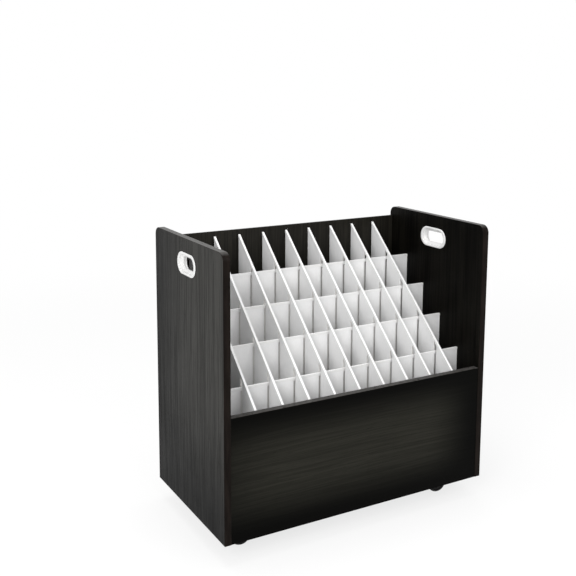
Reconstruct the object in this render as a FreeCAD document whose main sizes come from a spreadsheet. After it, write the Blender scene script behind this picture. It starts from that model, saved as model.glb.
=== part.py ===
import FreeCAD, Part

import math
import os

import Sketcher
from FreeCAD import Rotation, Vector

# Mobile roll file cabinet: a black laminated case, open at the top, that rolls on four
# twin-wheel casters. Crossed white divider boards make an egg-crate of square cells for
# rolled drawings, and the crate steps down from the back to the low front panel.
# Millimetres, +Z up, front towards -Y, origin on the floor under the middle of the case.

SIZES = (
    ("cabinet_width", 768, "outside width over the side panels"),
    ("cabinet_depth", 400, "side panels, front edge to rear edge"),
    ("cabinet_height", 743, "floor to the top of the side panels"),
    ("panel_thick", 18, "laminated side, front and base panels"),
    ("skirt_drop", 8, "outer panels below the base panel's underside"),
    ("corner_radius", 20, "top corners of the side panels"),
    ("edge_round", 1.2, "rounding of the banded panel edges"),
    ("front_recess", 1, "front panel behind the side panels' front edges"),
    ("front_top", 361, "floor to the top of the front panel"),
    ("back_thick", 4, "back panel"),
    ("back_inset", 6, "back panel in from the side panels' rear edges"),
    ("back_drop", 26, "back panel's top below the side panels' tops"),
    ("groove_depth", 6, "groove for the back panel in each side panel"),
    ("groove_play", 0.2, "gap round the back panel in its grooves"),
    ("columns", 10, "cells side by side"),
    ("rows", 5, "cells front to back"),
    ("board_thick", 4, "divider board"),
    ("board_play", 1, "gap between a depth divider's end and the panel it faces"),
    ("row_play", 0.25, "gap between a row divider's end and the side panel"),
    ("rear_cell", 74, "back panel to the middle of the rear row divider"),
    ("front_cell", 69, "front panel to the middle of the front row divider"),
    ("tip_drop", 40, "rear tips of the sloping caps below the side panels' tops"),
    ("row_drop", 23, "row divider's cap below the sloping caps"),
    ("front_row_drop", 29, "the same for the front row divider"),
    ("slot_wide", 8, "slot in a depth divider for a row board"),
    ("mouth_wide", 11, "wider mouth of that slot, which passes the row's cap"),
    ("mouth_below", 4, "mouth past the lower edge of the row's cap"),
    ("cross_wide", 11, "upper part of the slot in a row divider for a depth board"),
    ("cross_below", 2.2, "that slot's top past the lower edge of the row's cap"),
    ("lap_play", 1, "gap where crossed boards meet in their slots"),
    ("cap_wall", 0.8, "wall of an edge cap"),
    ("cap_lip", 5, "edge cap down each face of its board"),
    ("cap_play", 0.1, "gap between a board's face and its cap's lip"),
    ("hold_drop", 62.5, "middle of a hand hold below the side panel's top"),
    ("hold_length", 84, "clear length of a hand hold"),
    ("hold_width", 38, "clear width of a hand hold"),
    ("sleeve_wall", 2, "hand hold sleeve"),
    ("sleeve_play", 0.15, "gap between the sleeve and the panel"),
    ("flange_ends", 11, "hand hold flange past the opening's ends"),
    ("flange_sides", 8.5, "hand hold flange above and below the opening"),
    ("flange_thick", 2.5, "hand hold flange proud of the panel"),
    ("flange_round", 1.8, "rounding of the flange"),
    ("cam_radius", 7.5, "cam lock"),
    ("cam_deep", 13.5, "cam lock"),
    ("cam_setback", 34, "cam lock's axis from the panel's end"),
    ("cam_play", 0.15, "gap round a cam lock and round its bolt's head"),
    ("cam_slot", 2, "screwdriver slot in a cam lock, wide and deep"),
    ("base_cam_y", 60, "base cams in front of and behind the middle"),
    ("front_cam_rise", 54.5, "lower front cams above the front panel's lower edge"),
    ("front_cam_drop", 51, "upper front cams below the front panel's top"),
    ("bolt_radius", 3, "cam bolt"),
    ("bolt_grip", 11, "cam bolt screwed into the side panel"),
    ("bolt_head_radius", 3.6, "cam bolt's head"),
    ("bolt_head_length", 3, "cam bolt's head"),
    ("caster_inset_x", 102, "swivel axes in from the case's sides"),
    ("caster_inset_y", 95, "swivel axes in from the case's front and rear"),
    ("left_swivel", 75, "left casters at rest, degrees to the left of trailing straight back"),
    ("right_swivel", -105, "right casters at rest, degrees to the left of trailing straight back"),
    ("caster_room", 13.5, "top of the wheels to the base panel"),
    ("plate_side", 42, "square caster plate"),
    ("plate_thick", 2.5, "caster plate"),
    ("plate_corner", 5, "corner radius of a caster plate"),
    ("screw_spacing", 28, "caster screws, both ways"),
    ("screw_radius", 2, "caster screw's shank"),
    ("screw_length", 14, "caster screw's shank"),
    ("screw_head_radius", 3.8, "caster screw's head"),
    ("screw_head_high", 2.2, "caster screw's head"),
    ("screw_play", 0.3, "caster screw in its plate hole"),
    ("pilot_play", 0.02, "screw or bolt in its pilot hole, all round"),
    ("pilot_room", 0.5, "pilot hole past the end of its screw or bolt"),
    ("pin_radius", 4, "swivel pin"),
    ("pin_length", 36, "swivel pin below its plate"),
    ("bearing_gap", 0.3, "caster plate to the hood's hub"),
    ("running_play", 0.05, "radial play of a pin or axle in its bore"),
    ("wheel_radius", 25, "caster wheel"),
    ("wheel_width", 16, "caster wheel"),
    ("wheel_trail", 18, "axle behind the swivel axis"),
    ("wheel_round", 2.5, "edge of the tread"),
    ("wheel_gap", 1.2, "wheel to the hood's web"),
    ("rim_thick", 5, "tread ring of a wheel"),
    ("dish_deep", 2.4, "outer face's dish"),
    ("wheel_hub_radius", 8, "hub of a wheel"),
    ("dimple_radius", 2.6, "round dimples round a wheel's dish"),
    ("dimple_deep", 1.5, "round dimples round a wheel's dish"),
    ("dimple_count", 6, "round dimples round a wheel's dish"),
    ("axle_radius", 3, "caster axle"),
    ("hub_cover", 3, "wheel's wall past the bottom of its bore"),
    ("axle_end_gap", 0.5, "axle's end to the bottom of the wheel's bore"),
    ("press_play", 0.02, "radial gap of the axle in the hood, and of the pin in its plate"),
    ("web_thick", 12, "hood's web between the wheels"),
    ("hood_gap", 1.5, "tread to the hood's shell"),
    ("hood_wall", 2.5, "hood's shell"),
    ("wheel_proud", 1.2, "wheel past the side of the hood's shell"),
    ("hood_start", 58, "rear edge of the shell, degrees above level"),
    ("hood_end", 190, "front edge of the shell, degrees"),
    ("web_end", 215, "lower edge of the web, degrees"),
    ("hub_radius", 10, "hood's hub round the swivel pin"),
    ("boss_radius", 7.5, "hood's boss round the axle"),
    ("lever_angle", 50, "brake pivot round the axle, degrees above level"),
    ("lever_offset", 0.5, "brake pivot outside the shell"),
    ("lever_tilt", 12, "released pedal above level, degrees"),
    ("barrel_radius", 2.7, "brake lever's barrel"),
    ("trunnion_radius", 1.5, "pins at the barrel's ends"),
    ("ear_radius", 3, "hood's ear round a trunnion"),
    ("ear_thick", 3, "hood's ear"),
    ("ear_inner", 10.5, "ear's inner face from the middle"),
    ("ear_play", 0.3, "brake lever between the ears"),
    ("ear_overlap", 14, "ear's arc that reaches back into the shell, degrees"),
    ("pedal_length", 20, "pivot to the end of the pedal"),
    ("pedal_width", 28, "foot of the pedal"),
    ("pedal_thick", 3, "pedal"),
    ("pedal_neck", 5, "pivot to where the pedal widens"),
    ("shoe_offset", 6.2, "pivot to the middle of the brake shoe"),
    ("shoe_radius", 2.2, "brake shoe"),
    ("shoe_width", 36, "brake shoe across both treads"),
)

# Lengths that follow from the sizes, as expressions of the sheet.
INNER_HALF = "(dim.cabinet_width / 2 - dim.panel_thick)"
COLUMN_PITCH = f"(2 * {INNER_HALF} / dim.columns)"
BACK_FACE = "(dim.cabinet_depth / 2 - dim.back_inset - dim.back_thick)"
FRONT_FACE = "(dim.front_recess + dim.panel_thick - dim.cabinet_depth / 2)"
BASE_HEIGHT = "(2 * dim.wheel_radius + dim.caster_room)"
BASE_TOP = f"({BASE_HEIGHT} + dim.panel_thick)"
BASE_MIDDLE = f"({BASE_HEIGHT} + dim.panel_thick / 2)"
PANEL_BOTTOM = f"({BASE_HEIGHT} - dim.skirt_drop)"
BACK_TOP = "(dim.cabinet_height - dim.back_drop)"
TIP_HEIGHT = "(dim.cabinet_height - dim.tip_drop)"
HOLD_HEIGHT = "(dim.cabinet_height - dim.hold_drop)"
FLANGE_LENGTH = "(dim.hold_length + 2 * dim.flange_ends)"
FLANGE_WIDTH = "(dim.hold_width + 2 * dim.flange_sides)"
FRONT_CAM_LOW = f"({PANEL_BOTTOM} + dim.front_cam_rise)"
FRONT_CAM_HIGH = "(dim.front_top - dim.front_cam_drop)"
FRONT_MIDDLE = f"({FRONT_FACE} - dim.panel_thick / 2)"
DIVIDER_REAR = f"({BACK_FACE} - dim.board_play)"
DIVIDER_FRONT = f"({FRONT_FACE} + dim.board_play)"
ROW_PITCH = f"(({BACK_FACE} - {FRONT_FACE} - dim.rear_cell - dim.front_cell) / (dim.rows - 2))"
SLOPE = f"(({TIP_HEIGHT} - dim.front_top) / ({DIVIDER_REAR} - {DIVIDER_FRONT}))"
SLANT = f"sqrt(1 + {SLOPE} ^ 2)"
CAP_INSIDE = "(dim.board_thick + 2 * dim.cap_play)"
CAP_OUTSIDE = f"({CAP_INSIDE} + 2 * dim.cap_wall)"
CAP_HIGH = "(dim.cap_wall + dim.cap_lip)"
CAM_X = f"({INNER_HALF} - dim.cam_setback)"
CAM_BORE = "(dim.cam_radius + dim.cam_play)"
HOLE_GROWTH = "(2 * (dim.sleeve_wall + dim.sleeve_play))"
CASTER_X = "(dim.cabinet_width / 2 - dim.caster_inset_x)"
CASTER_Y = "(dim.cabinet_depth / 2 - dim.caster_inset_y)"
PLATE_BOTTOM = f"({BASE_HEIGHT} - dim.plate_thick)"
PIN_BOTTOM = f"({PLATE_BOTTOM} - dim.pin_length)"
WHEEL_INNER = "(dim.web_thick / 2 + dim.wheel_gap)"
AXLE_BORE = "(dim.wheel_width - dim.hub_cover)"
HOOD_WIDTH = f"(2 * ({WHEEL_INNER} + dim.wheel_width - dim.wheel_proud))"
HOOD_INSIDE = "(dim.wheel_radius + dim.hood_gap)"
HOOD_OUTSIDE = f"({HOOD_INSIDE} + dim.hood_wall)"
LEVER_RADIUS = f"({HOOD_OUTSIDE} + dim.lever_offset)"
LEVER_Y = f"(dim.wheel_trail + {LEVER_RADIUS} * cos(dim.lever_angle * 1deg))"
LEVER_Z = f"(dim.wheel_radius + {LEVER_RADIUS} * sin(dim.lever_angle * 1deg))"

# How far a cutting tool reaches past the faces that it opens.
PAST = 1

SPIN_X = Rotation(Vector(1, 1, 1), 120)
TURN_X = Rotation(Vector(0, 1, 0), 90)
HALF_TURN = Rotation(Vector(0, 0, 1), 180)
CASTER_SIDES = (("a", 1), ("b", -1))

doc = FreeCAD.newDocument("roll_file_cabinet")
sub_parts = []


def make_sheet():
    """The driving dimensions: a name, a plain number and a note in each row."""
    sheet = doc.addObject("Spreadsheet::Sheet", "dim")
    for row, (alias, number, note) in enumerate(SIZES, start=1):
        sheet.set(f"A{row}", alias)
        sheet.set(f"B{row}", str(number))
        sheet.set(f"C{row}", note)
        sheet.setAlias(f"B{row}", alias)
    doc.recompute()
    return sheet


sheet = make_sheet()


def value(expression):
    """The present number of an expression."""
    result = sheet.evalExpression(str(expression))
    return float(getattr(result, "Value", result))


def keep(piece, label):
    """Name a finished sub-part and put it on the list that is written out."""
    piece.Label = label
    sub_parts.append(piece)
    return piece


def place(piece, x="0", y="0", z="0", turn=Rotation()):
    """Bind a piece's place to the sheet, after an optional fixed turn."""
    piece.Placement.Rotation = turn
    for axis, expression in (("x", x), ("y", y), ("z", z)):
        if expression != "0":
            piece.setExpression(f"Placement.Base.{axis}", expression)
    return piece


# Sketches and PartDesign features.


def make_body(name):
    return doc.addObject("PartDesign::Body", f"{name}_body")


def origin_plane(body, role):
    return next(feature for feature in body.Origin.OriginFeatures if feature.Role == role)


def sketch_on(body, role, offset="0"):
    """A sketch on one of the body's own origin planes, moved along the plane's normal."""
    sketch = body.newObject("Sketcher::SketchObject", f"{body.Name}_sketch")
    sketch.AttachmentSupport = [(origin_plane(body, role), "")]
    sketch.MapMode = "FlatFace"
    if offset != "0":
        sketch.setExpression("AttachmentOffset.Base.z", offset)
    return sketch


def bind(sketch, kind, *where, expression):
    """Add a dimension and bind it to the sheet."""
    index = sketch.addConstraint(Sketcher.Constraint(kind, *where, value(expression)))
    sketch.setExpression(f"Constraints[{index}]", expression)


def add_outline(sketch, corners):
    """A closed outline whose corners are each held by two distances from the origin."""
    first = sketch.GeometryCount
    points = [Vector(value(u), value(v), 0) for u, v in corners]
    for start, end in zip(points, points[1:] + points[:1]):
        sketch.addGeometry(Part.LineSegment(start, end))
    for index, (u, v) in enumerate(corners):
        following = (index + 1) % len(corners)
        sketch.addConstraint(Sketcher.Constraint("Coincident", first + index, 2, first + following, 1))
        bind(sketch, "DistanceX", -1, 1, first + index, 1, expression=u)
        bind(sketch, "DistanceY", -1, 1, first + index, 1, expression=v)


def add_rectangle(sketch, u0, u1, v0, v1):
    add_outline(sketch, ((u0, v0), (u1, v0), (u1, v1), (u0, v1)))


def add_circle(sketch, u, v, radius):
    centre = Vector(value(u), value(v), 0)
    index = sketch.addGeometry(Part.Circle(centre, Vector(0, 0, 1), value(radius)))
    bind(sketch, "DistanceX", -1, 1, index, 3, expression=u)
    bind(sketch, "DistanceY", -1, 1, index, 3, expression=v)
    bind(sketch, "Radius", index, expression=radius)


def add_obround(sketch, v, length, width):
    """A slot shape with round ends, centred on the vertical axis at height v."""
    radius, half = value(f"{width} / 2"), value(f"({length} - {width}) / 2")
    height, up = value(v), Vector(0, 0, 1)
    quarter = math.pi / 2
    right = Part.ArcOfCircle(Part.Circle(Vector(half, height, 0), up, radius), -quarter, quarter)
    left = Part.ArcOfCircle(Part.Circle(Vector(-half, height, 0), up, radius), quarter, 3 * quarter)
    top = Part.LineSegment(Vector(half, height + radius, 0), Vector(-half, height + radius, 0))
    low = Part.LineSegment(Vector(-half, height - radius, 0), Vector(half, height - radius, 0))
    arc_r, line_t, arc_l, line_b = (sketch.addGeometry(part) for part in (right, top, left, low))
    for one, end, other, start in (
        (arc_r, 2, line_t, 1),
        (line_t, 2, arc_l, 1),
        (arc_l, 2, line_b, 1),
        (line_b, 2, arc_r, 1),
    ):
        sketch.addConstraint(Sketcher.Constraint("Tangent", one, end, other, start))
    sketch.addConstraint(Sketcher.Constraint("Equal", arc_r, arc_l))
    bind(sketch, "DistanceX", -1, 1, arc_r, 3, expression=f"({length} - {width}) / 2")
    bind(sketch, "DistanceX", -1, 1, arc_l, 3, expression=f"({width} - {length}) / 2")
    bind(sketch, "DistanceY", -1, 1, arc_r, 3, expression=v)
    bind(sketch, "DistanceY", -1, 1, arc_l, 3, expression=v)
    bind(sketch, "Radius", arc_r, expression=f"{width} / 2")


def pad(body, sketch, length, middle=False, reverse=False):
    feature = body.newObject("PartDesign::Pad", f"{body.Name}_pad")
    feature.Profile = sketch
    feature.Midplane = middle
    feature.Reversed = reverse
    feature.setExpression("Length", length)
    return feature


def pocket(body, sketch, length, middle=False, reverse=False):
    feature = body.newObject("PartDesign::Pocket", f"{body.Name}_pocket")
    feature.Profile = sketch
    feature.Midplane = middle
    feature.Reversed = reverse
    feature.setExpression("Length", length)
    return feature


def fillet(body, radius, test):
    """Round the edges of the body's tip that pass a test."""
    doc.recompute()
    base = body.Tip
    names = [f"Edge{n}" for n, edge in enumerate(base.Shape.Edges, start=1) if test(edge)]
    feature = body.newObject("PartDesign::Fillet", f"{body.Name}_fillet")
    feature.Base = (base, names)
    feature.setExpression("Radius", radius)
    return feature


def pattern(body, originals, kind, **settings):
    """Repeat features; the body's tip moves to the pattern."""
    doc.recompute()
    feature = body.newObject(f"PartDesign::{kind}", f"{body.Name}_pattern")
    feature.Originals = originals
    for name, setting in settings.items():
        if isinstance(setting, str):
            feature.setExpression(name, setting)
        else:
            setattr(feature, name, setting)
    body.Tip = feature
    return feature


def flat_in_x(edge):
    return edge.BoundBox.XLength < 1e-6


def near(number, expression):
    return abs(number - value(expression)) < 1e-4


# Part primitives and booleans, for the moulded and turned pieces.


def make_box(name, length, width, height, x="0", y="0", z="0"):
    """A box centred on x and y, with its lower face at z."""
    box = doc.addObject("Part::Box", name)
    box.setExpression("Length", length)
    box.setExpression("Width", width)
    box.setExpression("Height", height)
    return place(box, f"{x} - ({length}) / 2", f"{y} - ({width}) / 2", z)


def make_cylinder(name, radius, height, x="0", y="0", z="0", turn=Rotation()):
    cylinder = doc.addObject("Part::Cylinder", name)
    cylinder.setExpression("Radius", radius)
    cylinder.setExpression("Height", height)
    return place(cylinder, x, y, z, turn)


def make_roller(name, radius, width, y, z, x="0"):
    """A cylinder along X, centred on x."""
    return make_cylinder(name, radius, width, f"{x} - ({width}) / 2", y, z, SPIN_X)


def make_sector(name, radius, width, start, end, x="0"):
    """A slice of a cylinder about a caster's axle, from one angle to another."""
    slice_ = make_roller(name, radius, width, "dim.wheel_trail", "dim.wheel_radius", x)
    slice_.setExpression("Angle", f"({end} - ({start})) * 1deg")
    slice_.Placement.Rotation = SPIN_X * Rotation(Vector(0, 0, 1), value(start))
    return slice_


def fuse(name, pieces):
    joined = doc.addObject("Part::MultiFuse", name)
    joined.Shapes = pieces
    joined.Refine = True
    return joined


def cut(name, base, tool):
    result = doc.addObject("Part::Cut", name)
    result.Base = base
    result.Tool = tool
    result.Refine = True
    return result


def group(name, pieces):
    """Separate solids that share one sub-part."""
    compound = doc.addObject("Part::Compound", f"{name}_group")
    compound.Links = pieces
    return keep(compound, name)


def mirror(name, source):
    """The right-hand copy of a left-hand piece."""
    copy = doc.addObject("Part::Mirroring", f"{name}_mirror")
    copy.Source = source
    copy.Normal = Vector(1, 0, 0)
    return keep(copy, name)


# Places in the crate, as expressions.


def slant_at(y):
    """Height of the sloping caps' top line at a depth."""
    return f"({TIP_HEIGHT} - {SLOPE} * ({DIVIDER_REAR} - ({y})))"


def column_x(index):
    return f"({index} * {COLUMN_PITCH} - {INNER_HALF})"


def row_y(index):
    return f"({BACK_FACE} - dim.rear_cell - {index - 1} * {ROW_PITCH})"


def row_top(index):
    drop = "dim.front_row_drop" if index == row_dividers else "dim.row_drop"
    return f"({slant_at(row_y(index))} - {drop})"


def lap_height(index):
    """Middle of a crossing, where the two boards' slots meet."""
    return f"(({BASE_TOP} + {row_top(index)}) / 2)"


depth_dividers = int(value("dim.columns")) - 1
row_dividers = int(value("dim.rows")) - 1


# The case.


def make_left_side():
    """Side panel with rounded top corners, hand hold, back groove and bolt bores."""
    body = make_body("left_side_panel")
    half_depth, top = "dim.cabinet_depth / 2", "dim.cabinet_height"
    outline = sketch_on(body, "YZ_Plane")
    add_rectangle(outline, f"-{half_depth}", half_depth, PANEL_BOTTOM, top)
    pad(body, outline, "dim.panel_thick")
    fillet(
        body,
        "dim.corner_radius",
        lambda edge: not flat_in_x(edge) and near(edge.BoundBox.ZMin, top),
    )
    fillet(body, "dim.edge_round", flat_in_x)

    hold_sketch = sketch_on(body, "YZ_Plane", f"dim.panel_thick + {PAST}")
    length, width = f"(dim.hold_length + {HOLE_GROWTH})", f"(dim.hold_width + {HOLE_GROWTH})"
    add_obround(hold_sketch, HOLD_HEIGHT, length, width)
    pocket(body, hold_sketch, f"dim.panel_thick + {2 * PAST}")

    groove = sketch_on(body, "YZ_Plane", f"dim.panel_thick + {PAST}")
    add_rectangle(
        groove,
        f"{BACK_FACE} - dim.groove_play",
        f"{BACK_FACE} + dim.back_thick + dim.groove_play",
        f"{PANEL_BOTTOM} - {PAST}",
        f"{BACK_TOP} + dim.groove_play",
    )
    pocket(body, groove, f"dim.groove_depth + {PAST}")

    bores = sketch_on(body, "YZ_Plane", f"dim.panel_thick + {PAST}")
    for y, z in bolt_places():
        add_circle(bores, y, z, "dim.bolt_radius + dim.pilot_play")
    pocket(body, bores, f"dim.bolt_grip + dim.pilot_room + {PAST}")
    place(body, "-dim.cabinet_width / 2")
    return keep(body, "left_side_panel")


def bolt_places():
    """Depth and height of the cam bolts on one side of the case."""
    return (
        ("-dim.base_cam_y", BASE_MIDDLE),
        ("dim.base_cam_y", BASE_MIDDLE),
        (FRONT_MIDDLE, FRONT_CAM_LOW),
        (FRONT_MIDDLE, FRONT_CAM_HIGH),
    )


def bore_ends(body, places):
    """Bolt bores from both ends of a panel in to the cam locks."""
    ends = sketch_on(body, "YZ_Plane", f"-({INNER_HALF}) - {PAST}")
    for y, z in places:
        add_circle(ends, y, z, "dim.bolt_head_radius + dim.cam_play")
    bores = pocket(body, ends, f"dim.cam_setback + {PAST}", reverse=True)
    pattern(body, [bores], "Mirrored", MirrorPlane=(origin_plane(body, "YZ_Plane"), [""]))


def make_front_panel():
    body = make_body("front_panel")
    outline = sketch_on(body, "XZ_Plane", f"-({FRONT_FACE})")
    add_rectangle(outline, f"-{INNER_HALF}", INNER_HALF, PANEL_BOTTOM, "dim.front_top")
    pad(body, outline, "dim.panel_thick")
    fillet(
        body,
        "dim.edge_round",
        lambda edge: near(edge.BoundBox.ZMin, "dim.front_top") and edge.BoundBox.YLength < 1e-6,
    )
    cams = sketch_on(body, "XZ_Plane", f"-({FRONT_FACE})")
    for side in ("", "-"):
        for height in (FRONT_CAM_LOW, FRONT_CAM_HIGH):
            add_circle(cams, f"{side}{CAM_X}", height, CAM_BORE)
    pocket(body, cams, "dim.cam_deep + dim.cam_play", reverse=True)
    bore_ends(body, bolt_places()[2:])
    return keep(body, "front_panel")


def make_base_panel():
    """Base between the other panels, bored from below for cam locks and caster screws."""
    body = make_body("base_panel")
    outline = sketch_on(body, "XY_Plane", BASE_HEIGHT)
    add_rectangle(outline, f"-{INNER_HALF}", INNER_HALF, FRONT_FACE, BACK_FACE)
    pad(body, outline, "dim.panel_thick")
    cams = sketch_on(body, "XY_Plane", BASE_HEIGHT)
    pilots = sketch_on(body, "XY_Plane", BASE_HEIGHT)
    for x_sign in ("", "-"):
        for y_sign in ("", "-"):
            add_circle(cams, f"{x_sign}{CAM_X}", f"{y_sign}dim.base_cam_y", CAM_BORE)
            for x, y in screw_places(f"{x_sign}{CASTER_X}", f"{y_sign}{CASTER_Y}"):
                add_circle(pilots, x, y, "dim.screw_radius + dim.pilot_play")
    pocket(body, cams, "dim.cam_deep + dim.cam_play", reverse=True)
    pocket(body, pilots, "dim.screw_length - dim.plate_thick + dim.pilot_room", reverse=True)
    bore_ends(body, bolt_places()[:2])
    return keep(body, "base_panel")


def make_back_panel():
    body = make_body("back_panel")
    outline = sketch_on(body, "XZ_Plane", f"-({BACK_FACE})")
    half = f"({INNER_HALF} + dim.groove_depth - dim.groove_play)"
    add_rectangle(outline, f"-{half}", half, PANEL_BOTTOM, BACK_TOP)
    pad(body, outline, "dim.back_thick", reverse=True)
    return keep(body, "back_panel")


# The crate.


def make_depth_divider(index):
    """Front-to-back board with a sloping top, slotted from above for the row dividers."""
    name = f"depth_divider_{index}"
    body = make_body(name)
    wall = f"dim.cap_wall * {SLANT}"
    outline = sketch_on(body, "YZ_Plane")
    add_outline(
        outline,
        (
            (DIVIDER_FRONT, BASE_TOP),
            (DIVIDER_REAR, BASE_TOP),
            (DIVIDER_REAR, f"{slant_at(DIVIDER_REAR)} - {wall}"),
            (DIVIDER_FRONT, f"{slant_at(DIVIDER_FRONT)} - {wall}"),
        ),
    )
    pad(body, outline, "dim.board_thick", middle=True)
    slots = sketch_on(body, "YZ_Plane")
    for row in range(1, row_dividers + 1):
        y, above = row_y(row), f"{TIP_HEIGHT} + {PAST}"
        mouth = f"{row_top(row)} - {CAP_HIGH} - dim.mouth_below"
        bottom = f"{lap_height(row)} - dim.lap_play / 2"
        wide, narrow = "dim.mouth_wide / 2", "dim.slot_wide / 2"
        add_outline(
            slots,
            (
                (f"{y} - {wide}", above),
                (f"{y} - {wide}", mouth),
                (f"{y} - {narrow}", mouth),
                (f"{y} - {narrow}", bottom),
                (f"{y} + {narrow}", bottom),
                (f"{y} + {narrow}", mouth),
                (f"{y} + {wide}", mouth),
                (f"{y} + {wide}", above),
            ),
        )
    pocket(body, slots, f"dim.board_thick + {2 * PAST}", middle=True)
    place(body, column_x(index))
    return keep(body, name)


def make_row_divider(index):
    """Side-to-side board, slotted from below for the depth dividers, wider in the upper half."""
    name = f"row_divider_{index}"
    body = make_body(name)
    outline = sketch_on(body, "XZ_Plane")
    top = f"{row_top(index)} - dim.cap_wall"
    half = f"({INNER_HALF} - dim.row_play)"
    add_rectangle(outline, f"-{half}", half, BASE_TOP, top)
    pad(body, outline, "dim.board_thick", middle=True)
    slot = sketch_on(body, "XZ_Plane")
    x, foot = column_x(1), f"{BASE_TOP} - {PAST}"
    lap = f"{lap_height(index)} + dim.lap_play / 2"
    above = f"{row_top(index)} - {CAP_HIGH} - dim.cross_below"
    narrow, wide = "(dim.board_thick + dim.board_play) / 2", "dim.cross_wide / 2"
    add_outline(
        slot,
        (
            (f"{x} - {narrow}", foot),
            (f"{x} - {narrow}", lap),
            (f"{x} - {wide}", lap),
            (f"{x} - {wide}", above),
            (f"{x} + {wide}", above),
            (f"{x} + {wide}", lap),
            (f"{x} + {narrow}", lap),
            (f"{x} + {narrow}", foot),
        ),
    )
    first = pocket(body, slot, f"dim.board_thick + {2 * PAST}", middle=True)
    if depth_dividers > 1:
        pattern(
            body,
            [first],
            "LinearPattern",
            Direction=(slot, ["H_Axis"]),
            Length=f"{COLUMN_PITCH} * (dim.columns - 2)",
            Occurrences="dim.columns - 1",
        )
    place(body, y=row_y(index))
    return keep(body, name)


def make_depth_cap(index):
    """White channel pushed over a depth divider's sloping edge, which closes its slots."""
    name = f"depth_divider_cap_{index}"
    body = make_body(name)
    ends = ((DIVIDER_REAR, DIVIDER_FRONT), (f"{DIVIDER_REAR} + {PAST}", f"{DIVIDER_FRONT} - {PAST}"))
    high = (("0", CAP_HIGH), ("dim.cap_wall", f"({CAP_HIGH} + {PAST})"))
    sketches = []
    for (rear, front), (upper, lower) in zip(ends, high):
        sketch = sketch_on(body, "YZ_Plane")
        add_outline(
            sketch,
            (
                (rear, f"{slant_at(rear)} - {upper} * {SLANT}"),
                (front, f"{slant_at(front)} - {upper} * {SLANT}"),
                (front, f"{slant_at(front)} - {lower} * {SLANT}"),
                (rear, f"{slant_at(rear)} - {lower} * {SLANT}"),
            ),
        )
        sketches.append(sketch)
    pad(body, sketches[0], CAP_OUTSIDE, middle=True)
    pocket(body, sketches[1], CAP_INSIDE, middle=True)
    place(body, column_x(index))
    return keep(body, name)


def make_row_cap(index):
    """White channel pushed over a row divider's top edge."""
    name = f"row_divider_cap_{index}"
    body = make_body(name)
    top, outside, inside = row_top(index), f"{CAP_OUTSIDE} / 2", f"{CAP_INSIDE} / 2"
    profile = sketch_on(body, "YZ_Plane")
    add_outline(
        profile,
        (
            (f"-{outside}", top),
            (f"-{outside}", f"{top} - {CAP_HIGH}"),
            (f"-{inside}", f"{top} - {CAP_HIGH}"),
            (f"-{inside}", f"{top} - dim.cap_wall"),
            (inside, f"{top} - dim.cap_wall"),
            (inside, f"{top} - {CAP_HIGH}"),
            (outside, f"{top} - {CAP_HIGH}"),
            (outside, top),
        ),
    )
    pad(body, profile, f"2 * ({INNER_HALF} - dim.row_play)", middle=True)
    place(body, y=row_y(index))
    return keep(body, name)


# The hand holds.


def make_left_grommet(where):
    """Half of a hand hold: a flange on one face of the panel, and a sleeve to its middle."""
    name = f"left_grommet_{where}"
    outer = where == "outer"
    body = make_body(name)
    panel_face = "dim.cabinet_width / 2" if outer else INNER_HALF
    height, opening = HOLD_HEIGHT, ("dim.hold_length", "dim.hold_width")

    flange = sketch_on(body, "YZ_Plane", f"-({panel_face})")
    add_obround(flange, height, FLANGE_LENGTH, FLANGE_WIDTH)
    pad(body, flange, "dim.flange_thick", reverse=outer)
    fillet(
        body,
        "dim.flange_round",
        lambda edge: flat_in_x(edge) and not near(-edge.BoundBox.XMin, panel_face),
    )

    sleeve = sketch_on(body, "YZ_Plane", f"-({panel_face})")
    growth = "2 * dim.sleeve_wall"
    add_obround(sleeve, height, *(f"({size} + {growth})" for size in opening))
    pad(body, sleeve, "dim.panel_thick / 2 - dim.sleeve_play", reverse=not outer)

    past_flange = f"dim.flange_thick + {PAST}"
    start = f"-({panel_face}) - ({past_flange})" if outer else f"-({panel_face}) + {past_flange}"
    hollow = sketch_on(body, "YZ_Plane", start)
    add_obround(hollow, height, *opening)
    pocket(body, hollow, f"dim.panel_thick + {past_flange}", reverse=outer)
    fillet(
        body,
        "dim.flange_round",
        lambda edge: flat_in_x(edge)
        and near(abs(edge.BoundBox.XMin + value(panel_face)), "dim.flange_thick")
        and edge.BoundBox.YLength < value("dim.hold_length + dim.sleeve_wall")
        and edge.BoundBox.ZMax < value(f"{HOLD_HEIGHT} + dim.hold_width / 2 + dim.sleeve_wall")
        and edge.BoundBox.ZMin > value(f"{HOLD_HEIGHT} - dim.hold_width / 2 - dim.sleeve_wall"),
    )
    return keep(body, name)


# The fasteners.


def screw_places(x, y):
    """The four screws of the caster whose swivel axis is at x, y."""
    half = "dim.screw_spacing / 2"
    return [(f"{x} {a} {half}", f"{y} {b} {half}") for a in "+-" for b in "+-"]


def make_caster_screws():
    screws = []
    for x_sign in ("", "-"):
        for y_sign in ("", "-"):
            for x, y in screw_places(f"{x_sign}{CASTER_X}", f"{y_sign}{CASTER_Y}"):
                number = len(screws) + 1
                shank = make_cylinder(
                    f"screw_shank_{number}", "dim.screw_radius", "dim.screw_length", x, y, PLATE_BOTTOM
                )
                head = make_cylinder(
                    f"screw_head_{number}",
                    "dim.screw_head_radius",
                    "dim.screw_head_high",
                    x,
                    y,
                    f"{PLATE_BOTTOM} - dim.screw_head_high",
                )
                screws.append(fuse(f"caster_screw_{number}", [shank, head]))
    return group("caster_screws", screws)


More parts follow.
